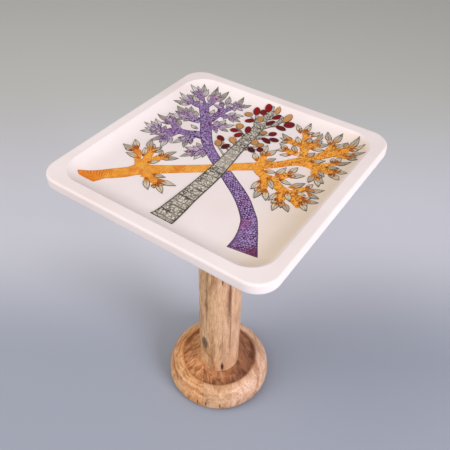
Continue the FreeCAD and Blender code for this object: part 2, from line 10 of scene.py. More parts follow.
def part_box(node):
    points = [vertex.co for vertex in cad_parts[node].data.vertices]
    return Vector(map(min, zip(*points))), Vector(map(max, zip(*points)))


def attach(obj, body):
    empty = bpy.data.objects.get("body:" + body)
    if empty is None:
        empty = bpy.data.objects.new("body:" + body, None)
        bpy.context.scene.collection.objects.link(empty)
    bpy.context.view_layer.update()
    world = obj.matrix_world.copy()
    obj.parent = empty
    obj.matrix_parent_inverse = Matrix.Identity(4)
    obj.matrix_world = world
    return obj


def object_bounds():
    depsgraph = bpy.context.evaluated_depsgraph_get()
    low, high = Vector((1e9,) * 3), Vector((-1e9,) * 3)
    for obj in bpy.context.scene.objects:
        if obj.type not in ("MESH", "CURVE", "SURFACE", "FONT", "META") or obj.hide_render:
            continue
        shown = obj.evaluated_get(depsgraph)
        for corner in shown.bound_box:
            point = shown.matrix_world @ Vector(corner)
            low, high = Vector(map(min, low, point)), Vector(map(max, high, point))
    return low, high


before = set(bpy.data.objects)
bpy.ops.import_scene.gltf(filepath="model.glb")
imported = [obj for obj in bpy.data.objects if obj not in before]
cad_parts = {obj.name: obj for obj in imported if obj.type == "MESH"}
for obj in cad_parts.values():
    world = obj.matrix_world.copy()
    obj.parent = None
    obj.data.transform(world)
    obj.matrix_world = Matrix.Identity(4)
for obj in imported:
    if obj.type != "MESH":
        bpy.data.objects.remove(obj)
CAD_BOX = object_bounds()

# A small square side table: a white tray painted with three trees, on a mango wood column and base.
# Lengths are metres in the part's own frame, except in the painting, which is laid out in millimetres
# on the tray with X to the right and Y up the picture. MM turns those into metres.
MM = 0.001
TRAY_BOARDS = [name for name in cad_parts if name.startswith("tray_board")]
TRAY_TOP = CAD_BOX[1].z
DISH_DEPTH = 0.008
DISH_FLOOR = TRAY_TOP - DISH_DEPTH
COLUMN_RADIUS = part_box("column")[1].x
RECESS_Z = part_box("column")[0].z
BASE_RADIUS = max(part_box(f"base_block_{side}")[1].x for side in ("left", "middle", "right"))
SEAM_TURN = 34  # the base's glue seams, from Y towards -X, in degrees
SEAMS = ((-0.025, 0.55), (0.021, 0.2))  # how far each is from the axis, and how dark its glue line is
GLUE = 0.0002  # half the width of a glue line
RECESS_RADIUS = 0.0655  # about where the dark of the base's recess ends

# The column's marks. A place on it is in degrees to the right of the side that faces the camera, and
# its height. Each brown mark has then half its width, half its height, and how strong it is.
BROWN_MARKS = (
    (25, 0.215, 0.0065, 0.075, 0.6), (26, 0.225, 0.0028, 0.06, 0.9), (31, 0.14, 0.0018, 0.08, 0.7),
    (-18, 0.3, 0.0022, 0.05, 0.6), (-38, 0.21, 0.003, 0.07, 0.6), (8, 0.12, 0.0014, 0.04, 0.5),
    (44, 0.24, 0.0016, 0.06, 0.5),
)
KNOT_AT = (-47, 0.104)
KNOT_REACH = (0.0085, 0.0085, 0.017)
SLIT_AT = (5, 0.262)
CHECK_AT = (9, 0.05)
SPLITS = (-14, 2, -24)  # short splits in the base's edge, in the same degrees
SPLIT_HEIGHT = 0.016

# Where the camera stands, which way it looks, and how far it leans to one side, in degrees.
CAMERA_AT = (0.295, -0.4392, 0.8452)
CAMERA_TURN = 33.45
CAMERA_DOWN = 43.55
CAMERA_LEAN = 1.53
CAMERA_LENS = 44.04
SENSOR = 36

random.seed(7)


# ---- colours and shader nodes

def linear_colour(red, green, blue):
    """A colour given as it looks on a screen, 0 to 255, as the linear values that shaders take."""
    def linear(value):
        value /= 255
        return value / 12.92 if value <= 0.04045 else ((value + 0.055) / 1.055) ** 2.4
    return (linear(red), linear(green), linear(blue), 1)


NOISE_ROUGHNESS = 0.55


class Shader:
    """One material with a Principled surface, and short ways to add the nodes that feed it."""

    def __init__(self, name, roughness=0.5, **fixed):
        self.material = bpy.data.materials.new(name)
        self.material.use_nodes = True
        self.tree = self.material.node_tree
        self.surface = self.tree.nodes["Principled BSDF"]
        self.set("Roughness", roughness)
        for socket, value in fixed.items():
            self.set(socket.replace("_", " "), value)
        self.place = self.node("TexCoord").outputs["Object"]

    def set(self, socket, value):
        """Give a socket of the surface a value, or link it to another node's output."""
        self.plug(self.surface.inputs[socket], value)

    def plug(self, socket, value):
        """The same for any node's socket. A colour is given as it looks on a screen, 0 to 255."""
        if isinstance(value, bpy.types.NodeSocket):
            self.tree.links.new(value, socket)
        elif socket.type == "RGBA":
            socket.default_value = linear_colour(*value)
        else:
            socket.default_value = value

    def node(self, kind, *values, **settings):
        made = self.tree.nodes.new("ShaderNode" + kind)
        for name, value in settings.items():
            setattr(made, name, value)
        for socket, value in zip(made.inputs, values):
            if value is not None:
                self.plug(socket, value)
        return made

    def fill(self, made, **values):
        """Give a node's sockets their values by name."""
        for name, value in values.items():
            self.plug(made.inputs[name], value)
        return made

    def maths(self, operation, first, second=0, third=0):
        return self.node("Math", first, second, third, operation=operation).outputs[0]

    def vector(self, operation, first, second):
        return self.node("VectorMath", first, second, operation=operation).outputs["Vector"]

    def length(self, vector):
        return self.node("VectorMath", vector, operation="LENGTH").outputs["Value"]

    def reach(self, centre, radii):
        """0 at a point and 1 on the surface of an ellipsoid round it."""
        return self.length(self.vector("DIVIDE", self.vector("SUBTRACT", self.place, centre), radii))

    def split(self, vector):
        return self.node("SeparateXYZ", vector).outputs

    def join(self, x, y, z=0):
        return self.node("CombineXYZ", x, y, z).outputs[0]

    def stored(self, name):
        """A value kept on the mesh's points under a name."""
        return self.node("Attribute", attribute_name=name).outputs["Fac"]

    def turned(self, degrees):
        """Coordinates after a turn about Z."""
        rotation = (0, 0, math.radians(degrees))
        return self.fill(self.node("Mapping", self.place), Rotation=rotation).outputs[0]

    def noise(self, scale, detail=3, distortion=0, place=None):
        """Clouds from 0 to 1, about so many to the metre."""
        made = self.node("TexNoise", place or self.place)
        self.fill(made, Scale=scale, Detail=detail, Roughness=NOISE_ROUGHNESS, Distortion=distortion)
        return made.outputs["Fac"]

    def streaks(self, size, detail=3, distortion=0, place=None):
        """Noise whose blots are about size metres long on each axis."""
        return self.noise(1, detail, distortion, self.vector("DIVIDE", place or self.place, size))

    def wander(self, value, scale, reach):
        """A value that drifts smoothly by up to reach either way, in clouds of so many to the metre."""
        drift = self.scaled(self.noise(scale, 2), 2 * reach, -reach)
        return self.maths("ADD", value, drift)

    def ramp(self, value, *stops):
        """A colour ramp. Each stop is a place from 0 to 1 and a colour."""
        made = self.node("ValToRGB", value)
        elements = made.color_ramp.elements
        while len(elements) < len(stops):
            elements.new(0.5)
        for element, (place, colour) in zip(elements, stops):
            element.position = place
            element.color = linear_colour(*colour)
        return made.outputs["Color"]

    def step(self, value, low, high, at_low=0, at_high=1):
        """A smooth step of a value, from at_low to at_high. It falls where low is above high."""
        made = self.node("MapRange", value, low, high, at_low, at_high)
        made.interpolation_type = "SMOOTHSTEP"
        return made.outputs[0]

    def mix(self, share, first, second):
        """A mix of two colours, whose sockets come after five for other kinds of value."""
        return self.node("Mix", share, *[None] * 5, first, second, data_type="RGBA").outputs[2]

    def lay(self, share, colour, most=1):
        """Lay a colour over the coat so far, by a share of 0 to 1 that is scaled down to most."""
        self.coat = self.mix(self.scaled(share, most), self.coat, colour)

    def tint(self, colour, value, low, high, most):
        """Lay up to most of a colour over the coat where a value climbs from low to high."""
        self.lay(self.step(value, low, high), colour, most)

    def edge(self, colour, most, start, soft=0.12):
        """Lay a colour near both edges of a painted strip, from a share of its half width outward."""
        self.tint(colour, self.maths("ABSOLUTE", self.stored("side")), start, start + soft, most)

    def finished(self, normal=None):
        """The material, with its coat as the surface's colour and a relief if there is one."""
        self.set("Base Color", self.coat)
        if normal:
            self.set("Normal", normal)
        return self.material

    def faded(self, marks, scale, least):
        """Marks that are weaker in some places, down to a least share."""
        return self.scaled(marks, self.step(self.noise(scale, 2), 0.38, 0.6, least, 1))

    def scaled(self, value, share, plus=0):
        return self.maths("MULTIPLY_ADD", value, share, plus)

    def either(self, first, second):
        return self.maths("MAXIMUM", first, second)

    def line(self, value, at, half_width, soft):
        """1 where a value is within half_width of at, falling to 0 over soft."""
        away = self.maths("ABSOLUTE", self.maths("SUBTRACT", value, at))
        return self.step(away, half_width + soft, half_width)

    def dots(self, scale, core, edge):
        """Round dots, one to a cell, so many cells to the metre, solid to core and gone at edge."""
        cells = self.node("TexVoronoi", self.place, voronoi_dimensions="2D")
        self.fill(cells, Scale=scale)
        return self.step(cells.outputs["Distance"], edge, core)

    def bump(self, height, depth, strength, under=None):
        """Relief from a height of 0 to 1, depth metres deep."""
        made = self.fill(self.node("Bump"), Strength=strength, Distance=depth, Height=height)
        if under:
            self.fill(made, Normal=under)
        return made.outputs["Normal"]

    def spot(self, centre, radius, tall, ragged=0):
        """1 at a point, falling to 0 at an ellipsoid's surface, with a ragged edge."""
        reach = self.reach(centre, (radius, radius, tall))
        if ragged:
            wave = self.streaks((radius, radius, radius * 2.5), 2)
            reach = self.scaled(wave, ragged, reach)
        return self.step(reach, 1 + ragged / 2, 0.35 + ragged / 2)


# ---- materials of the table

def white_paint():
    """Warm white brushed on by hand, with painted warm shade on the dish's right side, and worn to the
    grain underneath.
    """
    paint = Shader("white_paint", Specular_IOR_Level=0.25)
    clouds = paint.noise(9)
    paint.coat = paint.ramp(clouds, (0.3, (237, 225, 225)), (0.7, (245, 236, 238)))
    paint.tint((226, 212, 204), paint.noise(420, 2), 0.66, 0.8, 0.5)
    facing = paint.split(paint.node("NewGeometry").outputs["Normal"])[2]
    to_right, _, height = paint.split(paint.place)
    sunk = paint.step(height, TRAY_TOP - 0.0005, TRAY_TOP - DISH_DEPTH / 2)
    in_dish = paint.scaled(sunk, paint.step(facing, 0.2, 0.4))
    # Painted shade: the dish's right side, which the rim shades from the key light, is tinted tan.
    paint.lay(paint.scaled(in_dish, paint.step(to_right, 0.06, 0.14)), (232, 208, 176), 0.65)
    below = paint.step(facing, -0.75, -0.95)
    grain = paint.streaks((0.083, 0.006, 0.006), 4, distortion=0.6)
    paint.lay(paint.scaled(below, paint.step(grain, 0.46, 0.74)), (206, 158, 96), 0.5)
    paint.set("Roughness", paint.step(clouds, 0.2, 0.8, 0.55, 0.7))
    waves = paint.bump(paint.noise(38, 2), 0.0005, 0.5)
    strokes = paint.streaks((0.033, 0.002, 0.002), 2)
    return paint.finished(paint.bump(strokes, 0.00006, 0.6, waves))


def mango(name, light, middle, dark, grain, turn=0, size=1, pored=0.8):
    """Waxed mango wood, with the grain along one axis after a turn about Z. Larger sizes look coarser."""
    wood = Shader(name, roughness=0.45)
    place = wood.turned(turn) if turn else wood.place

    def figure(across, along, detail, distortion=0):
        lengths = [size * (along if axis else across) for axis in grain]
        return wood.streaks(lengths, detail, distortion, place)

    broad = figure(0.016, 0.06, 3, 0.8)
    flames = figure(0.0055, 0.03, 4, 1.2)
    fibres = figure(0.0016, 0.02, 3)
    pores = figure(0.0008, 0.016, 3)
    tone = wood.scaled(broad, 0.55, wood.scaled(flames, 0.45))
    wood.coat = wood.ramp(tone, (0.38, light), (0.5, middle), (0.66, dark))
    wood.tint(dark, fibres, 0.52, 0.7, 0.6)
    wood.lay(wood.step(pores, 0.56, 0.68, 0, pored), wood.mix(0.5, dark, (60, 36, 22)))
    wood.set("Roughness", wood.step(fibres, 0.3, 0.7, 0.4, 0.58))
    wood.fibres = fibres
    wood.figure = figure
    return wood


def around(radius, degrees, height):
    """A point at a radius from the axis, by degrees to the right of the side that faces the camera."""
    facing = Vector((CAMERA_AT[0], CAMERA_AT[1], 0)).normalized()
    side = Matrix.Rotation(math.radians(degrees), 3, "Z") @ facing * radius
    return (side.x, side.y, height)


def column_wood():
    """Pale tan wood streaked up the post, with brown marks, a knot, a slit, a check at the foot, and
    painted light on its side towards the key light.
    """
    wood = mango("column_wood", (236, 194, 150), (214, 168, 122), (148, 102, 60), (0, 0, 1))
    # Painted light: the side towards +X, where the key light falls, is tinted lighter and pinker.
    wood.tint((232, 186, 160), wood.split(wood.place)[0], 0, 0.03, 0.4)
    for degrees, height, radius, tall, share in BROWN_MARKS:
        mark = wood.spot(around(COLUMN_RADIUS, degrees, height), radius, tall, 0.8)
        wood.lay(mark, (124, 78, 48), share)
    eye = wood.wander(wood.reach(around(COLUMN_RADIUS, *KNOT_AT), KNOT_REACH), 220, 0.25)
    rings = wood.step(wood.maths("SINE", wood.scaled(eye, 22)), -0.2, 0.8, 0.7, 1)
    knot = wood.scaled(wood.step(eye, 1.1, 0.6), rings)
    wood.lay(knot, (62, 52, 36))
    slit = wood.spot(around(COLUMN_RADIUS, *SLIT_AT), 0.0015, 0.01)
    check = wood.spot(around(COLUMN_RADIUS, *CHECK_AT), 0.0034, 0.016, 0.6)
    cracks = wood.either(slit, check)
    wood.lay(cracks, (58, 34, 22))
    relief = wood.bump(wood.fibres, 0.00015, 0.5)
    return wood.finished(wood.bump(wood.maths("SUBTRACT", 1, cracks), 0.0008, 0.8, relief))


def base_wood(name, light, middle, dark, groove, recess_dark, off_line=0, arcs=()):
    """One block of the turned base: its own tint, a dark recess that is partly the wood's own colour and
    partly painted shade, glue lines, turning marks and splits, and painted shade along its bottom edge.

    off_line turns its grain away from the seams, in degrees. Each of arcs is the radius and strength
    of a grain line that follows the turned edge.
    """
    wood = mango(name, light, middle, dark, (0, 1, 0), -SEAM_TURN + off_line, 1.5, 0.4)
    height = wood.split(wood.place)[2]
    out = wood.length(wood.vector("MULTIPLY", wood.place, (1, 1, 0)))
    blotch = wood.noise(60)
    uneven = wood.scaled(blotch, 0.006, out)
    inside = wood.step(uneven, RECESS_RADIUS + 0.002, RECESS_RADIUS - 0.002)
    # Painted shade: the recess colour is laid fully at its floor and less up its wall, and the recess
    # colours darken from the left block to the right one, which the rim shades.
    sunk = wood.step(height, RECESS_Z + 0.0005, RECESS_Z + 0.007, 1, 0.45)
    long_marks = wood.step(wood.figure(0.006, 0.024, 4, 1.8), 0.36, 0.64)
    recess_wood_and_shade = wood.mix(long_marks, groove, recess_dark)
    recess_wood_and_shade = wood.mix(wood.step(blotch, 0.52, 0.68, 0, 0.6), recess_wood_and_shade, (206, 160, 122))
    wood.lay(wood.scaled(inside, sunk), recess_wood_and_shade, 0.95)
    bowed = wood.wander(out, 45, 0.005)
    for radius, share in arcs:
        arc = wood.faded(wood.line(bowed, radius, 0.0007, 0.0016), 70, 0.3)
        wood.lay(arc, (132, 80, 44), share)
    turning = wood.noise(700, 2, place=wood.join(out, 0, height))
    wood.tint(dark, turning, 0.58, 0.8, 0.3)
    across = wood.split(wood.turned(-SEAM_TURN))[0]
    for seam, share in SEAMS:
        wood.lay(wood.line(across, seam, GLUE, 2.5 * GLUE), (96, 58, 36), share)
    # Painted shade: the bottom edge is darkened where the base meets the floor.
    bottom_shade = wood.step(wood.wander(height, 120, 0.002), 0.005, 0.012, 0.75, 0)
    wood.lay(bottom_shade, (104, 66, 44))
    cracks = 0
    for degrees in SPLITS:
        split = wood.spot(around(BASE_RADIUS - 0.0005, degrees, SPLIT_HEIGHT), 0.002, 0.008, 0.7)
        cracks = wood.either(cracks, split)
    wood.lay(cracks, (74, 44, 28), 0.8)
    relief = wood.bump(wood.fibres, 0.00015, 0.5)
    return wood.finished(wood.bump(turning, 0.0001, 0.4, relief))


def plain_wood(name, light, middle, dark, grain):
    wood = mango(name, light, middle, dark, grain)
    return wood.finished(wood.bump(wood.fibres, 0.0001, 0.5))


def zinc():
    """Zinc plating: pale grey metal with a faint crystalline mottle and handling marks."""
    shader = Shader("zinc_steel", roughness=0.35, Metallic=1)
    spangle = shader.noise(900, 2)
    marks = shader.noise(160)
    shader.coat = shader.ramp(spangle, (0.35, (168, 170, 168)), (0.65, (200, 201, 196)))
    shader.set("Roughness", shader.step(marks, 0.3, 0.7, 0.28, 0.5))
    return shader.finished()


def felt():
    """Pressed brown felt with a short uneven nap."""
    shader = Shader("felt", roughness=0.95, Sheen_Weight=0.4)
    mottle = shader.noise(500, 2)
    shader.coat = shader.mix(shader.step(mottle, 0.3, 0.7), (70, 54, 44), (96, 78, 64))
    return shader.finished(shader.bump(shader.noise(2600), 0.0003, 0.8))


# ---- materials of the painting
#
# Every painted strip carries, on its points: along and across, in millimetres from its foot and its
# middle; share, 0 at its foot and 1 at its tip; side, -1 at its left edge and 1 at its right; and tone,
# one value from 0 to 1 for the whole strip.

def matt_paint(name, roughness=0.55):
    """Artist's paint with a faint relief."""
    paint = Shader(name, roughness=roughness, Specular_IOR_Level=0.2)
    paint.ridges = paint.noise(330)
    paint.set("Normal", paint.bump(paint.ridges, 0.00005, 0.5))
    return paint


def hand_mixed(name, deep, pale, roughness=0.55):
    """Matt paint of one colour that is thicker in some places than in others."""
    paint = matt_paint(name, roughness)
    pools = paint.noise(90, 2)
    thick = paint.scaled(paint.ridges, 0.6, paint.scaled(pools, 0.4))
    paint.coat = paint.ramp(thick, (0.38, deep), (0.62, pale))
    return paint


def ink(name, deep, pale):
    return hand_mixed(name, deep, pale, 0.6).finished()


def grey_trunk_paint():
    """Cream-grey ground with a dark crackle of uneven cells, wavy rows, short strokes and dark edges."""
    paint = hand_mixed("grey_trunk", (192, 184, 172), (226, 218, 206))
    dark = (56, 48, 44)
    along = paint.wander(paint.stored("along"), 90, 3.2)
    across = paint.wander(paint.stored("across"), 120, 2.2)
    warped = paint.vector("DIVIDE", paint.join(across, along), (4.6, 3.5, 1))
    cells = paint.node("TexVoronoi", warped, feature="DISTANCE_TO_EDGE")
    paint.fill(cells, Scale=1)
    crackle = paint.step(cells.outputs["Distance"], 0.14, 0.04)
    row_pitch = 9.5
    rows = paint.line(paint.maths("FRACT", paint.maths("DIVIDE", along, row_pitch)), 0.5, 0.05, 0.08)
    specks = paint.step(paint.streaks((0.0012, 0.003, 0.002), 2), 0.56, 0.66)
    marks = paint.either(paint.either(rows, crackle), paint.scaled(specks, 0.65))
    pale_patch = paint.spot((0.005, 0.004, DISH_FLOOR), 0.026, 0.03)
    marks = paint.scaled(paint.faded(marks, 60, 0.75), paint.step(pale_patch, 0, 1, 0.95, 0.55))
    paint.lay(marks, dark)
    paint.edge(dark, 0.85, 0.88)
    return paint.finished()


def violet_trunk_paint():
    """Violet ground under a dark net, with dark dots and pale specks, magenta at the foot."""
    paint = hand_mixed("violet_trunk", (136, 104, 168), (186, 158, 210))
    paint.tint((158, 100, 158), paint.noise(42, 2), 0.5, 0.66, 0.6)
    mesh_pitch = 3
    rows = paint.maths("DIVIDE", paint.wander(paint.stored("along"), 120, 1.8), mesh_pitch)
    lines = paint.maths("DIVIDE", paint.wander(paint.stored("across"), 110, 1.8), mesh_pitch)
    odd = paint.maths("FLOORED_MODULO", paint.maths("FLOOR", rows), 2)
    lines = paint.scaled(odd, 0.5, lines)
    cell = paint.join(paint.maths("FRACT", rows), paint.maths("FRACT", lines))
    away = paint.length(paint.vector("SUBTRACT", cell, (0.5, 0.5, 0)))
    across, up, _ = paint.split(paint.place)
    far = paint.step(up, -0.035, 0)
    net = paint.faded(paint.step(away, 0.3, 0.48), 130, 0.4)
    net = paint.scaled(net, paint.scaled(far, -0.6, 1))
    paint.lay(net, (62, 34, 84))
    specks = paint.faded(paint.step(away, 0.32, 0.16), 170, 0.15)
    paint.lay(specks, (192, 168, 214))
    dots = paint.either(paint.dots(250, 0.18, 0.34), paint.scaled(paint.dots(190, 0.2, 0.34), far))
    paint.lay(paint.faded(dots, 90, 0.4), (44, 24, 66))
    flush = paint.spot((0.078, -0.079, DISH_FLOOR), 0.013, 0.013)
    paint.lay(flush, (142, 62, 118), 0.5)
    foot = paint.step(up, -0.096, -0.112, 0, 0.3)
    corner = paint.scaled(paint.step(up, -0.092, -0.108), paint.step(across, 0.095, 0.109, 0, 0.8))
    paint.lay(paint.either(foot, corner), (104, 30, 66))
    paint.edge((62, 38, 76), 0.55, 0.8)
    return paint.finished()


def orange_trunk_paint():
    """Orange ground under close slanted stripes and short strokes, deeper at the cut end."""
    paint = hand_mixed("orange_trunk", (244, 156, 48), (252, 186, 80))
    to_right = paint.split(paint.place)[0]
    paint.tint((250, 188, 86), paint.noise(40, 2), 0.52, 0.68, 0.6)
    paint.tint((232, 122, 46), paint.noise(75, 2), 0.56, 0.7, 0.6)
    paint.tint((234, 128, 24), to_right, -0.088, -0.1, 0.75)
    stripe_pitch = 2.9
    slant = paint.scaled(paint.stored("across"), 0.5, paint.stored("along"))
    waves = paint.maths("SINE", paint.scaled(paint.wander(slant, 110, 1.2), math.tau / stripe_pitch))
    stripes = paint.faded(waves, 120, 0.35)
    striped = paint.scaled(paint.step(stripes, 0, 0.8), paint.step(to_right, -0.01, 0.015, 0.65, 0.3))
    paint.lay(striped, (172, 86, 18))
    strokes = paint.step(paint.streaks((0.0022, 0.006, 0.004), 2), 0.52, 0.64)
    strokes = paint.either(strokes, paint.faded(paint.dots(300, 0.2, 0.4), 110, 0))
    strokes = paint.scaled(strokes, paint.step(to_right, 0.02, 0.06, 0.15, 0.75))
    paint.lay(strokes, (150, 68, 20))
    paint.edge((150, 96, 48), 0.4, 0.82, 0.18)
    return paint.finished()


def drawn_line(paint, place, half_width):
    """Thin lines drawn along a leaf, at a share of its half width on both sides of its middle."""
    side = paint.maths("ABSOLUTE", paint.wander(paint.stored("side"), 230, 0.16))
    return paint.faded(paint.line(side, place, half_width, 0.12), 140, 0.5)


def leaf_paint(name, root, pale, cool, tip, line):
    """A leaf tinted at its root, pale or cool by its tone, darker at its tip, with drawn lines."""
    paint = matt_paint(name)
    body = paint.mix(paint.step(paint.stored("tone"), 0.25, 0.8), pale, cool)
    cloud = paint.wander(paint.stored("share"), 200, 0.25)
    paint.coat = paint.mix(paint.step(cloud, 0.5, 0.2), body, root)
    paint.tint(tip, cloud, 0.7, 1.05, 0.9)
    lines = paint.either(drawn_line(paint, 0, 0.08), paint.scaled(drawn_line(paint, 0.55, 0.04), 0.5))
    paint.lay(lines, line)
    return paint.finished()


def heart_paint(name, deep, middle, bright, dot):
    """A leaf's coloured heart: its tone differs from leaf to leaf, and it is dotted and lined by hand."""
    paint = matt_paint(name)
    tone = paint.wander(paint.stored("tone"), 160, 0.3)
    paint.coat = paint.ramp(tone, (0.1, deep), (0.5, middle), (0.9, bright))
    dots = paint.faded(paint.dots(270, 0.2, 0.38), 150, 0.2)
    strokes = paint.either(drawn_line(paint, 0, 0.14), drawn_line(paint, 0.66, 0.12))
    paint.lay(paint.either(dots, strokes), dot)
    return paint.finished()


def oval_paint(name, deep, bright, rim):
    """An oval leaf, deep or bright by its tone, with faint lines and a darker rim."""
    paint = matt_paint(name)
    tone = paint.wander(paint.stored("tone"), 150, 0.25)
    paint.coat = paint.ramp(tone, (0, deep), (1, bright))
    across = paint.wander(paint.stored("across"), 220, 0.5)
    vein_pitch = 1.9
    veins = paint.maths("SINE", paint.scaled(across, math.tau / vein_pitch))
    paint.tint(rim, veins, 0.2, 0.9, 0.4)
    paint.edge(rim, 0.6, 0.7, 0.3)
    return paint.finished()


# ---- laying paint on the tray

def tray_surface():
    """The tray's own faces, to find how high the dish is at any point."""
    points, faces = [], []
    for name in TRAY_BOARDS:
        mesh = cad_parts[name].data
        start = len(points)
        points.extend(vertex.co.copy() for vertex in mesh.vertices)
        faces.extend([start + index for index in face.vertices] for face in mesh.polygons)
    return BVHTree.FromPolygons(points, faces)


SURFACE = tray_surface()
ABOVE = TRAY_TOP + 0.05
DOWN = Vector((0, 0, -1))
SUNK = 0.12  # how far a strip's underside lies inside the tray
PAINTING_AT = (-0.3, 0.6)  # the painting's own origin on the tray


def dish_height(x, y):
    """Height of the tray's upper surface, in metres, at a place in millimetres."""
    return SURFACE.ray_cast(Vector((x * MM, y * MM, ABOVE)), DOWN)[0].z


class Film:
    """A piece of dried paint: closed strips that follow the dish and stand a little above it."""

    VALUES = ("along", "across", "share", "side", "tone")

    def __init__(self, name):
        self.name = name
        self.points = []
        self.faces = []
        self.values = {value: [] for value in self.VALUES}

    def strip(self, rows, lift, tone=0.5):
        """Add a closed strip. Each row is a list of places from its left edge to its right edge."""
        wide = len(rows[0])
        tall = len(rows)
        start = len(self.points)
        travelled = 0.0
        for number, row in enumerate(rows):
            if number:
                travelled += math.dist(row[wide // 2], rows[number - 1][wide // 2])
            span = math.dist(row[0], row[-1])
            for place, (x, y) in enumerate(row):
                x, y = x + PAINTING_AT[0], y + PAINTING_AT[1]
                z = dish_height(x, y)
                side = 2 * place / (wide - 1) - 1
                values = (travelled, span * side / 2, number / (tall - 1), side, tone)
                for name, value in zip(self.VALUES, values):
                    self.values[name] += [value, value]
                self.points += [(x * MM, y * MM, z + lift * MM), (x * MM, y * MM, z - SUNK * MM)]
        self.close(start, wide, tall)

    def close(self, start, wide, tall):
        """Faces over, under and round a strip whose points begin at start."""
        def top(row, place):
            return start + 2 * (row * wide + place)

        def wall(first, second):
            self.faces.append((second, first, first + 1, second + 1))

        for row in range(tall - 1):
            for place in range(wide - 1):
                near, far = top(row, place), top(row + 1, place)
                upper = (near, near + 2, far + 2, far)
                self.faces.append(upper)
                self.faces.append([corner + 1 for corner in reversed(upper)])
            wall(top(row + 1, 0), top(row, 0))
            wall(top(row, wide - 1), top(row + 1, wide - 1))
        for place in range(wide - 1):
            wall(top(0, place), top(0, place + 1))
            wall(top(tall - 1, place + 1), top(tall - 1, place))

    def finish(self, material, slot):
        """Make the piece, with its paint, and fasten it to the table."""
        mesh = bpy.data.meshes.new(self.name)
        mesh.from_pydata(self.points, [], self.faces)
        for name, values in self.values.items():
            mesh.attributes.new(name, "FLOAT", "POINT").data.foreach_set("value", values)
        piece = added(self.name, mesh)
        mesh.materials.append(material)
        make_outward(mesh)
        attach(piece, "root")


def added(name, data):
    """A new object in the scene."""
    thing = bpy.data.objects.new(name, data)
    bpy.context.scene.collection.objects.link(thing)
    return thing


def make_outward(mesh):
    """Turn every face outward."""
    work = bmesh.new()
    work.from_mesh(mesh)
    bmesh.ops.recalc_face_normals(work, faces=work.faces)
    work.to_mesh(mesh)
    work.free()


LIMB_STEP = 2
LIMB_ACROSS = 7
TIP_ROUNDING = (30, 55, 75)  # degrees round a limb's tip


def blend(before, start, end, after, t):
    """A number on the smooth curve through four numbers, at a share t of the way from start to end."""
    slope = end - before
    bend = 2 * before - 5 * start + 4 * end - after
    twist = 3 * start - before - 3 * end + after
    return 0.5 * (2 * start + slope * t + bend * t * t + twist * t ** 3)


def curve_through(stations):
    """A smooth run through stations, which are tuples of numbers, sampled every LIMB_STEP."""
    padded = [stations[0], *stations, stations[-1]]
    samples = []
    for four in zip(padded, padded[1:], padded[2:], padded[3:]):
        count = max(1, round(math.dist(four[1][:2], four[2][:2]) / LIMB_STEP))
        for number in range(count):
            samples.append(tuple(blend(*values, number / count) for values in zip(*four)))
    return [*samples, stations[-1]]


def edges_of(stations):
    """Left and right edge points of a limb. A station is x, y and width, or both edge points."""
    middles = [s[:2] if len(s) == 3 else ((s[0] + s[2]) / 2, (s[1] + s[3]) / 2) for s in stations]
    edges = []
    for number, station in enumerate(stations):
        if len(station) == 4:
            edges.append(station)
            continue
        back = middles[max(number - 1, 0)]
        ahead = middles[min(number + 1, len(middles) - 1)]
        direction = (Vector(ahead) - Vector(back)).normalized()
        x, y, width = station
        reach_x, reach_y = -direction.y * width / 2, direction.x * width / 2
        edges.append((x + reach_x, y + reach_y, x - reach_x, y - reach_y))
    return edges


def limb_rows(stations, grow=0):
    """Rows of places across a limb, from its foot to its rounded tip, widened by grow on each side."""
    rows = []
    for edges in curve_through(edges_of(stations)):
        left, right = Vector(edges[:2]), Vector(edges[2:])
        outward = (left - right).normalized() * grow
        left, right = left + outward, right - outward
        rows.append([tuple(left.lerp(right, place / (LIMB_ACROSS - 1))) for place in range(LIMB_ACROSS)])
    middle = LIMB_ACROSS // 2
    foot = (Vector(rows[0][middle]) - Vector(rows[1][middle])).normalized() * grow
    rows[0] = [(x + foot.x, y + foot.y) for x, y in rows[0]]
    tip = Vector(rows[-1][middle])
    ahead = (tip - Vector(rows[-2][middle])).normalized()
    last = rows[-1]
    half = math.dist(last[0], last[-1]) / 2
    for degrees in TIP_ROUNDING:
        turn = math.radians(degrees)
        centre = tip + ahead * (half * math.sin(turn))
        rows.append([tuple(centre + (Vector(place) - tip) * math.cos(turn)) for place in last])
    return rows


LEAF_STEPS = 12
LEAF_ACROSS = 5
SHARP = 0.12  # half the width left at a leaf's point


def blade_rows(start, end, width, fullest=0.5, bend=0, blunt=0):
    """Rows of a pointed leaf or an oval, fullest at a share of its length and bent a little."""
    start, end = Vector(start), Vector(end)
    line = end - start
    side = Vector((-line.y, line.x)).normalized()
    power = math.log(0.5) / math.log(fullest)
    rows = []
    for number in range(LEAF_STEPS + 1):
        t = number / LEAF_STEPS
        swell = math.sin(math.pi * t ** power)
        half = max(width / 2 * (swell ** (1 - blunt)), SHARP)
        middle = start + line * t + side * (bend * math.sin(math.pi * t))
        places = (1 - 2 * place / (LEAF_ACROSS - 1) for place in range(LEAF_ACROSS))
        rows.append([tuple(middle + side * half * place) for place in places])
    return rows


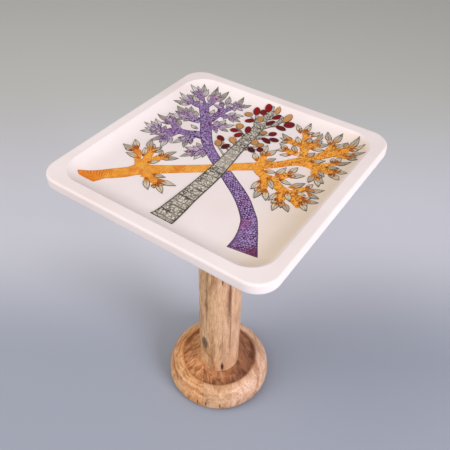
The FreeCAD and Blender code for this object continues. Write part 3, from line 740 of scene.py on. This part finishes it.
class Tree:
    """The films of one painted tree: its outlines, its limbs, and leaves with coloured hearts on them.

    Strips that cross stand at slightly different heights, so that no two faces lie in one plane.
    Heights and widths are in millimetres. heart_spread widens the hearts' share of their leaves.
    """

    LIMB_RISE = 0.03
    LEAF_RISE = 0.06
    TURNS = 9
    LIMB_TURN = 0.003
    LEAF_TURN = 0.036
    COAT = 0.012
    SLIMMEST = 2.6
    WIDER_BY_LENGTH = 0.2
    FULLEST = 0.45
    MOST_BEND = 0.05  # this and the next are shares of the leaf's length
    HEART_BACK = 0.12
    OUTLINE = 0.75

    def __init__(self, name, level, heart_spread=1):
        self.level = level
        self.heart_spread = heart_spread
        self.count = 0
        self.ink = Film(f"{name}_outlines")
        self.limbs = Film(f"{name}_limbs")
        self.leaves = Film(f"{name}_leaves")
        self.hearts = Film(f"{name}_hearts")

    def turn(self):
        self.count += 1
        return self.count % self.TURNS

    def limb(self, stations, outline=0):
        rise = self.level + self.LIMB_TURN * self.turn()
        if outline:
            self.ink.strip(limb_rows(stations, outline), rise)
        self.limbs.strip(limb_rows(stations), rise + self.LIMB_RISE)

    def leaf(self, foot_x, foot_y, tip_x, tip_y, heart):
        """A pointed leaf. heart is how much of its length its coloured heart covers, in percent."""
        foot, tip = Vector((foot_x, foot_y)), Vector((tip_x, tip_y))
        reach = tip - foot
        width = (self.SLIMMEST + self.WIDER_BY_LENGTH * reach.length) * random.uniform(0.92, 1.1)
        bend = random.uniform(-self.MOST_BEND, self.MOST_BEND) * reach.length
        tone = random.random()
        rise = self.level + self.LEAF_RISE + self.LEAF_TURN * self.turn()
        beyond = reach.normalized() * self.OUTLINE
        outer = blade_rows(foot - beyond, tip + beyond, width + 2 * self.OUTLINE, self.FULLEST, bend)
        self.ink.strip(outer, rise)
        self.leaves.strip(blade_rows(foot, tip, width, self.FULLEST, bend), rise + self.COAT, tone)
        heart = heart / 100 * self.heart_spread
        core_foot, core_tip = foot - reach * self.HEART_BACK, foot + reach * heart
        core = blade_rows(core_foot, core_tip, width * (0.7 + 0.3 * heart), bend=bend * heart)
        self.hearts.strip(core, rise + 2 * self.COAT, tone)

    def grow(self, sprays, outline=0):
        """Draw limbs first and then leaves, so that every leaf lies over every limb."""
        for limb, _ in sprays:
            if limb:
                self.limb(limb, outline)
        for _, leaves in sprays:
            for leaf in leaves:
                self.leaf(*leaf)


# A spray is a limb, from its foot to its tip, and the leaves on it. A limb's stations are x, y and
# width, or both edge points at a cut end. A leaf is x and y of its foot, x and y of its tip, and how
# much of its length its heart covers, in percent.

# ---- the violet tree

VIOLET_SPRAYS = [
    ([(85, -117, 118, -112), (96, -100, 25), (92, -90, 21.5), (87, -80, 19), (81, -70, 17.5),
      (71.5, -60, 16.5), (61, -50, 16.5), (48, -40, 16), (34, -31, 15.5), (20, -22, 15), (5, -13, 13.5),
      (-14, -1, 13), (-31, 12, 13), (-45, 27, 14.5), (-57, 43, 14.5), (-68, 58, 14), (-79, 70, 12.5),
      (-87, 80, 13), (-99, 91, 10), (-108, 101, 9), (-115, 107, 6)],
     [(-109, 106, -119, 125, 50), (-103, 99, -109, 121, 35), (-113, 106, -124, 117, 70),
      (-115, 106, -132, 111, 35), (-112, 102, -126, 102, 75), (-106, 96, -122, 94, 45),
      (-111, 105, -117, 112, 90), (-64, 34, -76, 37, 10), (-70, 70, -73, 84, 10)]),
    ([(-62, 58, 10), (-62, 75, 9.5), (-63, 86, 10), (-69, 94, 8), (-75, 103, 4)],
     [(-67, 104, -74, 122, 25), (-66, 93, -81, 94, 85), (-68, 96, -78, 107, 85), (-70, 96, -74, 106, 90),
      (-63, 98, -63, 111, 40)]),
    ([(-61, 85, 9), (-58, 96, 7), (-53, 106, 7)],
     [(-55, 106, -61, 118, 85), (-54, 109, -55, 129, 40), (-49, 109, -38, 121, 40),
      (-53, 103, -49, 97, 80), (-52, 105, -47, 118, 80), (-51, 106, -41, 104, 85),
      (-52, 104, -54, 114, 90)]),
    ([(-60, 78, 8), (-52, 80, 9), (-46, 83, 6)],
     [(-50, 84, -45, 94, 60), (-47, 85, -32, 94, 40), (-46, 82, -28, 80, 50), (-51, 80, -50, 72, 70),
      (-47, 81, -35, 74, 85), (-48, 83, -34, 87, 85), (-50, 82, -44, 89, 90)]),
    ([(-56, 45, 10), (-49, 51, 12), (-45, 56, 8)],
     [(-47, 57, -46, 72, 35), (-42, 57, -31, 69, 50), (-43, 52, -29, 52, 45), (-51, 54, -54, 65, 85),
      (-45, 57, -41, 67, 85), (-46, 49, -39, 41, 75), (-49, 53, -50, 65, 85)]),
    ([(-87, 82, 9), (-86, 94, 8.5), (-87, 104, 9), (-88, 110, 5)],
     [(-89, 95, -100, 111, 25), (-91, 103, -99, 130, 55), (-89, 108, -90, 123, 70),
      (-86, 110, -80, 129, 40), (-84, 100, -78, 118, 60), (-90, 104, -96, 116, 70),
      (-86, 102, -84, 116, 90), (-88, 100, -91, 113, 90)]),
    ([(-90, 80, 8), (-100, 80, 8), (-110, 83, 8)],
     [(-93, 84, -105, 93, 25), (-98, 84, -117, 96, 35), (-108, 84, -124, 92, 80), (-112, 83, -132, 86, 50),
      (-110, 79, -128, 67, 45), (-107, 78, -118, 67, 50), (-111, 81, -127, 78, 75),
      (-108, 82, -120, 86, 90), (-106, 80, -118, 76, 90)]),
    ([(-72, 52, 13), (-84, 49, 12), (-95, 51, 9)],
     [(-82, 54, -91, 67, 20), (-88, 54, -102, 72, 40), (-94, 54, -107, 66, 80), (-97, 53, -118, 62, 50),
      (-86, 46, -89, 38, 60), (-92, 47, -99, 37, 75), (-95, 48, -113, 43, 50), (-97, 50, -113, 51, 85),
      (-90, 50, -105, 57, 90), (-90, 48, -104, 47, 85)]),
    ([(-48, 25, 13), (-58, 24, 14), (-68, 19, 13), (-78, 17, 11), (-86, 10, 18), (-88, 2, 17),
      (-87, -4, 10)],
     [(-90, -5, -96, -20, 15), (-80, -6, -77, -24, 25), (-90, 2, -98, -7, 90), (-84, 0, -72, -10, 90),
      (-88, -2, -84, -17, 85), (-86, 2, -79, -12, 90), (-89, 0, -91, -13, 90)]),
    ([(-80, 18, 9), (-90, 22, 9), (-99, 28, 8)],
     [(-86, 24, -98, 38, 25), (-97, 29, -105, 39, 85), (-100, 28, -116, 43, 70), (-102, 26, -125, 29, 45),
      (-98, 24, -110, 19, 85), (-101, 28, -114, 33, 90), (-94, 26, -103, 36, 90),
      (-96, 25, -108, 25, 90)]),
    ([(-92, 7, 9), (-100, 5, 9), (-106, 4, 7)],
     [(-98, 6, -101, 16, 60), (-104, 7, -121, 20, 35), (-105, 6, -122, 12, 75), (-106, 4, -126, 4, 50),
      (-104, 0, -119, -12, 40), (-102, 1, -104, -11, 85), (-105, 1, -119, -3, 85), (-102, 4, -112, 9, 90),
      (-102, 2, -112, -5, 90)]),
    ([(-62, 23, 13), (-61, 13, 13), (-60, 7, 8)],
     [(-60, 6, -54, -8, 40), (-64, 8, -70, -9, 40), (-64, 11, -72, 4, 85), (-58, 13, -51, 2, 90),
      (-61, 10, -59, -3, 85), (-63, 13, -66, 1, 90)]),
    ([(-28, 6, 10), (-34, -1, 11), (-37, -6, 8)],
     [(-37, 4, -46, 9, 20), (-37, -3, -52, -7, 50), (-38, -8, -46, -25, 45), (-31, -3, -29, -20, 50),
      (-29, 0, -23, -11, 60), (-36, -1, -46, 1, 85), (-35, -6, -35, -18, 90), (-38, -5, -48, -14, 95),
      (-33, -3, -32, -15, 90)]),
]


# ---- the orange tree

ORANGE_SPRAYS = [
    ([(-116.5, -121.5, -95.5, -121), (-122.5, -116, -92.5, -115), (-107, -103, -90, -109.5),
      (-93, -88.5, -81.5, -102), (-82, -77, -71.5, -92.5), (-70.5, -75, 20), (-58, -66, 18),
      (-46, -56.5, 15.5), (-29, -43.5, 14.5), (-5, -24.5, 14), (8, -13, 13.5), (20, -3, 13.5),
      (34, 8, 14.5), (44, 17, 13), (54, 26, 11.5), (64, 37, 11.5), (72, 47, 13), (78, 55, 9)],
     [(44, 26, 50, 38, 45), (51, 9, 64, 15, 35), (79, 62, 83, 76, 40), (87, 57, 100, 69, 25),
      (-69, -57, -60, -47, 35)]),
    ([(-75, -67, 9), (-82, -60, 8), (-88, -54, 9), (-95, -47, 10), (-101, -46, 7)],
     [(-84, -57, -103, -57, 20), (-82, -50, -91, -36, 20), (-97, -44, -112, -30, 45),
      (-100, -47, -117, -46, 45), (-98, -49, -109, -52, 70), (-98, -44, -108, -40, 80)]),
    ([(-73, -65, 9), (-75, -53, 9), (-79, -41, 9), (-81, -34, 7)],
     [(-84, -36, -96, -18, 30), (-80, -35, -75, -24, 60), (-82, -35, -86, -24, 70),
      (-78, -38, -71, -28, 50)]),
    ([(-71, -63, 10), (-68, -50, 9), (-64, -42, 11), (-60, -38, 7)],
     [(-62, -38, -55, -21, 50), (-59, -38, -45, -30, 45), (-64, -40, -69, -29, 60),
      (-60, -40, -52, -39, 70)]),
    ([(-60, -76, 13), (-51, -75, 12), (-42, -78, 12), (-36, -80, 8)],
     [(-50, -71, -35, -67, 35), (-51, -81, -37, -95, 20), (-38, -75, -16, -72, 40),
      (-36, -81, -20, -91, 40), (-38, -84, -33, -89, 80), (-37, -78, -27, -79, 80)]),
    ([(42, 14, 13), (38, 26, 10), (35, 35, 8)],
     [(33, 22, 22, 34, 25), (33, 37, 28, 56, 30), (37, 36, 42, 54, 50), (34, 33, 29, 43, 70)]),
    ([(77, 55, 14), (72, 68, 9.5), (67, 79, 12), (63, 89, 11), (58, 100, 9.5), (53, 107, 8)],
     [(60, 81, 49, 94, 25), (63, 63, 54, 75, 25), (63, 105, 67, 119, 25), (73, 101, 71, 118, 20),
      (47, 104, 35, 118, 40), (55, 106, 61, 114, 60), (51, 108, 50, 127, 50), (49, 106, 43, 113, 70)]),
    ([(66, 80, 9), (57, 80, 9), (48, 80, 11)],
     [(46, 82, 30, 89, 50), (45, 77, 38, 71, 50), (44, 80, 33, 79, 75), (46, 84, 38, 87, 80)]),
    ([(67, 62, 9), (57, 61, 10), (51, 62, 7)],
     [(60, 55, 50, 48, 30), (52, 63, 38, 68, 45), (52, 60, 42, 54, 55), (51, 62, 43, 62, 75)]),
    ([(67, 79, 9), (72, 87, 10), (75, 93, 7)],
     [(67, 87, 64, 102, 40), (74, 81, 89, 88, 30), (77, 90, 88, 102, 45), (75, 93, 78, 104, 60),
      (73, 92, 70, 102, 70)]),
    ([(80, 56, 13), (87, 66, 9), (92, 76, 13), (97, 85, 15), (95, 94, 11), (93, 103, 7)],
     [(100, 97, 104, 117, 25), (87, 108, 76, 124, 35), (92, 108, 94, 129, 45), (90, 103, 85, 113, 60),
      (94, 102, 99, 110, 70)]),
    ([(97, 86, 14), (107, 90, 12), (116, 92, 12), (121, 93, 8)],
     [(119, 97, 134, 106, 45), (118, 90, 132, 88, 60), (112, 92, 122, 101, 70), (119, 93, 129, 95, 80)]),
    ([(104, 92, 10), (110, 101, 10), (112, 108, 9)],
     [(112, 110, 115, 132, 45), (115, 108, 127, 122, 45), (108, 106, 106, 119, 60),
      (115, 106, 124, 111, 60)]),
    ([(74, 47, 13), (85, 51, 13), (95, 53, 19), (102, 58, 12), (109, 66, 9), (112, 71, 6)],
     [(106, 58, 120, 65, 30), (112, 73, 113, 86, 50), (113, 70, 127, 82, 40), (109, 70, 106, 79, 60)]),
    ([(94, 52, 10), (104, 51, 10), (114, 53, 11), (120, 55, 6)],
     [(102, 49, 113, 41, 35), (118, 51, 131, 41, 45), (120, 58, 134, 56, 45), (117, 56, 124, 63, 70),
      (116, 50, 121, 44, 70)]),
    ([(99, 50, 9), (101, 40, 9), (105, 35, 7)],
     [(101, 36, 103, 21, 40), (108, 34, 116, 21, 20), (106, 36, 118, 29, 50), (104, 38, 112, 38, 70)]),
    ([(44, 8, 13), (54, 2, 11), (66, 3, 9), (75, -3, 11), (85, -8, 13), (96, -10, 11), (106, -16, 10),
      (113, -22, 6)],
     [(62, 0, 76, -13, 25), (112, -14, 125, -25, 40)]),
    ([(100, -9, 9), (108, -9, 10), (115, -9, 6)],
     [(100, -4, 111, -1, 30), (116, -9, 130, -8, 50), (113, -10, 121, -16, 70), (110, -9, 119, -3, 70)]),
    ([(56, 2, 9), (61, -8, 10), (65, -16, 11), (68, -20, 7)],
     [(57, -9, 56, -27, 25), (65, -20, 67, -38, 45), (71, -19, 80, -34, 35), (68, -19, 73, -27, 80),
      (63, -18, 61, -27, 70)]),
    ([(87, -8, 11), (90, -19, 12), (93, -27, 9)],
     [(84, -15, 82, -32, 25), (92, -8, 102, -20, 25), (92, -28, 94, -44, 50), (98, -27, 109, -36, 40),
      (95, -24, 99, -35, 80), (89, -24, 87, -34, 60)]),
    ([(96, -9, 9), (101, 2, 9), (106, 8, 9)],
     [(91, 1, 101, 17, 30), (106, 10, 109, 21, 60), (110, 9, 125, 17, 45), (112, 4, 127, 0, 45),
      (107, 7, 117, 10, 80)]),
    ([(70, 4, 9), (73, 13, 11), (77, 20, 9)],
     [(67, 11, 69, 30, 25), (74, 7, 89, 6, 25), (77, 23, 80, 38, 40), (81, 17, 94, 29, 45),
      (78, 18, 86, 23, 70)]),
]


# ---- the grey tree

GREY_TRUNK = [
    (-8, -123.5, 20, -124), (-7, -119, 19.5, -119), (6.5, -100, 24), (6.3, -80, 21.5), (6.5, -60, 20.3),
    (6.5, -40, 19.6), (5.7, -20, 18.5), (4.2, 0, 16.5), (2.3, 20, 15), (1, 40, 14), (-0.7, 65, 14),
    (-2.5, 88, 12), (-4, 96, 9),
]
GREY_FORKS = [
    [(-4, 84, 10), (-7, 98, 10), (-7, 110, 8), (-6, 124, 4)],
    [(-4, 100, 5), (-5, 114, 4), (-9, 130, 3)],
    [(1, 84, 8), (6, 93, 7), (12, 103, 6.5), (13, 113, 5), (11, 120, 3)],
    [(-8, 86, 6), (-14, 97, 4), (-18, 104, 3)],
]

# Each oval is its two ends, its width and its tone, from 0, deep, to 1, bright.
RED_OVALS = [
    (-17.5, 132, -9.5, 120.5, 9, 0.8), (-19, 121, -11.5, 111, 8, 0.6), (-28.5, 122, -20, 105, 8.5, 1.0),
    (1.5, 110, 8, 123, 7.5, 0.5), (3, 92, 7, 108, 7, 0.2), (23, 104, 31, 117.5, 12, 0.6),
    (14.5, 99, 29.5, 97, 8, 0.3), (-24, 84, -15.5, 94.5, 7.5, 0.7), (17.5, 75, 23, 85.5, 7.5, 0.6),
    (22.5, 69, 34.5, 71.5, 7.5, 0.2), (14, 66, 28, 60.5, 7, 0.3), (-13.5, 77.5, -7, 63, 7.5, 0.6),
    (-29, 56.5, -19, 62, 8, 0.9), (-16, 47, -12, 59, 7.5, 0.9), (-33.5, 38, -22, 30, 8, 0.3),
    (-14.5, 17, -12, 29.5, 7.5, 0.1), (21, 40.5, 29, 44, 8, 0.3), (11, 38, 22, 33.5, 7.5, 0.0),
]
OCHRE_OVALS = [
    (-1, 133, 1, 121.5, 6.5, 0.7), (20, 129.5, 17.5, 112, 9, 0.6), (-34.5, 104, -24, 98.5, 10, 0.4),
    (-13.5, 107, -7.5, 94, 8, 0.4), (-27, 76.5, -20, 65.5, 9.5, 0.7), (11, 81, 8, 71, 7, 0.2),
    (9, 57, 14.5, 46, 9, 0.5), (22, 55.5, 18.5, 45.5, 7, 0.2), (-18, 45, -8.5, 34.5, 8.5, 0.8),
    (-28, 29.5, -20.5, 18.5, 8.5, 0.4),
]
OVAL_BLUNT = 0.5
OVAL_INK = 0.45

TRUNK_FOOT_X = 4.2
TRUNK_LEAN = -0.075
TWIG_SLOPE = 0.6
HIGHEST_TWIG = 104


def twig_to(tree, ends):
    """A thin twig that leaves the trunk lower down and runs to the nearer end of an oval."""
    def trunk_x(y):
        return TRUNK_FOOT_X + TRUNK_LEAN * y

    near_x, near_y = min(ends, key=lambda end: abs(end[0] - trunk_x(end[1])))
    drop = TWIG_SLOPE * abs(near_x - trunk_x(near_y)) + 3
    root_y = min(near_y - drop, HIGHEST_TWIG)
    tree.limb([(trunk_x(root_y), root_y, 2.2), (near_x, near_y, 1.6)], 0.2)


def paint_grey_tree(level):
    """The grey tree: twigs lowest, then its forks and trunk, then the ovals."""
    tree = Tree("grey", level)
    reds, ochres = Film("red_ovals"), Film("ochre_ovals")
    ovals = ((reds, RED_OVALS), (ochres, OCHRE_OVALS))
    for _, shapes in ovals:
        for x0, y0, x1, y1, _, _ in shapes:
            twig_to(tree, ((x0, y0), (x1, y1)))
    tree.level = level + 2 * Tree.LIMB_RISE
    for stations in GREY_FORKS:
        tree.limb(stations, 0.4)
    tree.limb(GREY_TRUNK, 0.7)
    for film, shapes in ovals:
        for x0, y0, x1, y1, width, tone in shapes:
            rise = tree.level + Tree.LEAF_RISE + Tree.LEAF_TURN * tree.turn()
            outer = blade_rows((x0, y0), (x1, y1), width + 2 * OVAL_INK, blunt=OVAL_BLUNT)
            tree.ink.strip(outer, rise)
            inner = blade_rows((x0, y0), (x1, y1), width, blunt=OVAL_BLUNT)
            film.strip(inner, rise + Tree.COAT, tone)
    return tree, reds, ochres


# ---- stage, camera and lights

FLOOR_TURN = 33  # from Y towards -X, the line along which the floor's paper changes
FLOOR_REACH = 6


def floor():
    """One pale paper floor, wide enough for every view, with painted shade that darkens it from just
    behind the table forward, and greyer behind.
    """
    mesh = bpy.data.meshes.new("floor")
    corners = ((-1, -1), (1, -1), (1, 1), (-1, 1))
    mesh.from_pydata([(x * FLOOR_REACH, y * FLOOR_REACH, 0) for x, y in corners], [], [range(4)])
    piece = added("floor", mesh)
    shader = Shader("floor", roughness=0.9, Specular_IOR_Level=0.1)
    cloud = shader.noise(1.3, 2)
    shader.coat = shader.ramp(cloud, (0.3, (206, 209, 222)), (0.7, (215, 217, 230)))
    toward_back = shader.split(shader.turned(-FLOOR_TURN))[1]
    shader.lay(shader.step(toward_back, 0.4, 1), (206, 209, 208))
    # Painted shade: the floor from just behind the table forward is laid darker, as the table's soft
    # shadow.
    shader.lay(shader.step(toward_back, 0.35, 0), (158, 165, 181))
    mesh.materials.append(shader.finished())


def camera():
    data = bpy.data.cameras.new("camera")
    data.sensor_width = SENSOR
    data.lens = CAMERA_LENS
    view = added("camera", data)
    turn = Matrix.Rotation(math.radians(CAMERA_TURN), 4, "Z")
    tilt = Matrix.Rotation(math.radians(90 - CAMERA_DOWN), 4, "X")
    lean = Matrix.Rotation(math.radians(CAMERA_LEAN), 4, "Z")
    view.matrix_world = Matrix.Translation(CAMERA_AT) @ turn @ tilt @ lean
    bpy.context.scene.camera = view


# Each lamp's name, place, width in metres, power in watts and colour.
LAMPS = (
    ("key", (1.9, -0.35, 1.02), 1.1, 35, (1, 0.975, 1)),
    ("fill", (-1.2, -1.6, 0.95), 1.6, 13, (1, 0.91, 0.79)),
    ("top", (-0.9, -1, 2), 1.8, 18, (1, 0.97, 0.94)),
)
SKY_COLOUR = (1, 0.955, 0.92, 1)
SKY_STRENGTH = 0.38


def soft_light(name, place, aim, width, power, colour):
    data = bpy.data.lights.new(name, "AREA")
    data.shape = "DISK"
    data.size = width
    data.energy = power
    data.color = colour
    lamp = added(name, data)
    lamp.location = place
    lamp.rotation_euler = (Vector(aim) - Vector(place)).to_track_quat("-Z", "Y").to_euler()


def lights():
    """A large soft key low on the camera's right, a warm fill at its left, a top light and a warm sky."""
    centre = (0, 0, TRAY_TOP * 0.6)
    for name, place, width, power, colour in LAMPS:
        soft_light(name, place, centre, width, power, colour)
    world = bpy.data.worlds.new("studio")
    world.use_nodes = True
    sky = world.node_tree.nodes["Background"]
    sky.inputs["Color"].default_value = SKY_COLOUR
    sky.inputs["Strength"].default_value = SKY_STRENGTH
    bpy.context.scene.world = world
    bpy.context.scene.view_settings.view_transform = "Standard"


# ---- putting it together

def dress(names, material):
    """Give CAD nodes a finished material."""
    for name in names:
        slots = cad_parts[name].data.materials
        slots.clear()
        slots.append(material)


# Each base block's light, middle and dark wood, the two colours of its recess, which carry painted shade
# that grows from the left block to the right one, how far its grain turns away from the seams, in
# degrees, and the grain lines that follow its edge.
BASE_LOOKS = {
    "left": ((240, 190, 140), (224, 166, 112), (172, 108, 60), (228, 166, 114), (150, 92, 50),
             38, ((0.0775, 0.75), (0.0715, 0.5), (0.0665, 0.55))),
    "middle": ((226, 186, 149), (206, 160, 122), (152, 104, 70), (196, 134, 90), (124, 72, 44), -14),
    "right": ((238, 202, 176), (220, 176, 146), (164, 114, 84), (172, 114, 80), (104, 62, 44), -20),
}


def dress_table():
    dress(TRAY_BOARDS, white_paint())
    dress(["column"], column_wood())
    for side, looks in BASE_LOOKS.items():
        dress([f"base_block_{side}"], base_wood(f"base_wood_{side}", *looks))
    plain = ((222, 188, 148), (200, 160, 118), (152, 110, 74))
    dress(["top_cleat"], plain_wood("cleat_wood", *plain, (1, 0, 0)))
    beech = ((226, 196, 150), (212, 178, 130), (180, 140, 96))
    dress(["top_dowels", "base_dowels"], plain_wood("dowel_wood", *beech, (0, 0, 1)))
    dress(["cleat_screws", "tee_nut", "hanger_bolt", "base_washer", "base_lag_bolt"], zinc())
    dress([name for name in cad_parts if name.startswith("felt_pad")], felt())


# How far above the dish each tree begins, in millimetres.
VIOLET_LEVEL = 0.06
ORANGE_LEVEL = 0.3
GREY_LEVEL = 0.54


def finish_tree(tree, name, outline, trunk_paint, leaf, heart):
    """Paint a tree's films: its limbs and hearts in its own colour, its leaves in grey."""
    tree.ink.finish(ink(f"{name}_ink", *outline), "black_ink")
    tree.limbs.finish(trunk_paint(), f"{name}_paint")
    tree.leaves.finish(leaf_paint(f"{name}_leaf", *leaf), "grey_paint")
    tree.hearts.finish(heart_paint(f"{name}_heart", *heart), f"{name}_paint")


def paint_tray():
    """The three trees: violet lowest, then orange, with the grey one over both."""
    violet = Tree("violet", VIOLET_LEVEL, 1.12)
    violet.grow(VIOLET_SPRAYS, 0.35)
    finish_tree(
        violet, "violet", ((48, 38, 52), (76, 66, 76)), violet_trunk_paint,
        ((166, 142, 174), (222, 216, 208), (176, 170, 156), (124, 122, 112), (70, 62, 70)),
        ((184, 152, 202), (234, 214, 236), (212, 162, 210), (40, 16, 48)))

    orange = Tree("orange", ORANGE_LEVEL)
    orange.grow(ORANGE_SPRAYS)
    finish_tree(
        orange, "orange", ((52, 42, 36), (84, 72, 60)), orange_trunk_paint,
        ((236, 166, 90), (226, 212, 188), (188, 181, 167), (124, 116, 105), (66, 52, 42)),
        ((212, 116, 44), (240, 144, 50), (248, 178, 96), (92, 40, 20)))

    grey, reds, ochres = paint_grey_tree(GREY_LEVEL)
    grey.ink.finish(ink("grey_ink", (56, 48, 44), (82, 72, 64)), "black_ink")
    grey.limbs.finish(grey_trunk_paint(), "grey_paint")
    reds.finish(oval_paint("red_oval", (78, 12, 20), (152, 4, 16), (64, 6, 12)), "red_paint")
    ochres.finish(oval_paint("ochre_oval", (184, 126, 82), (208, 156, 90), (150, 100, 60)), "ochre_paint")


dress_table()
paint_tray()
floor()
camera()
lights()
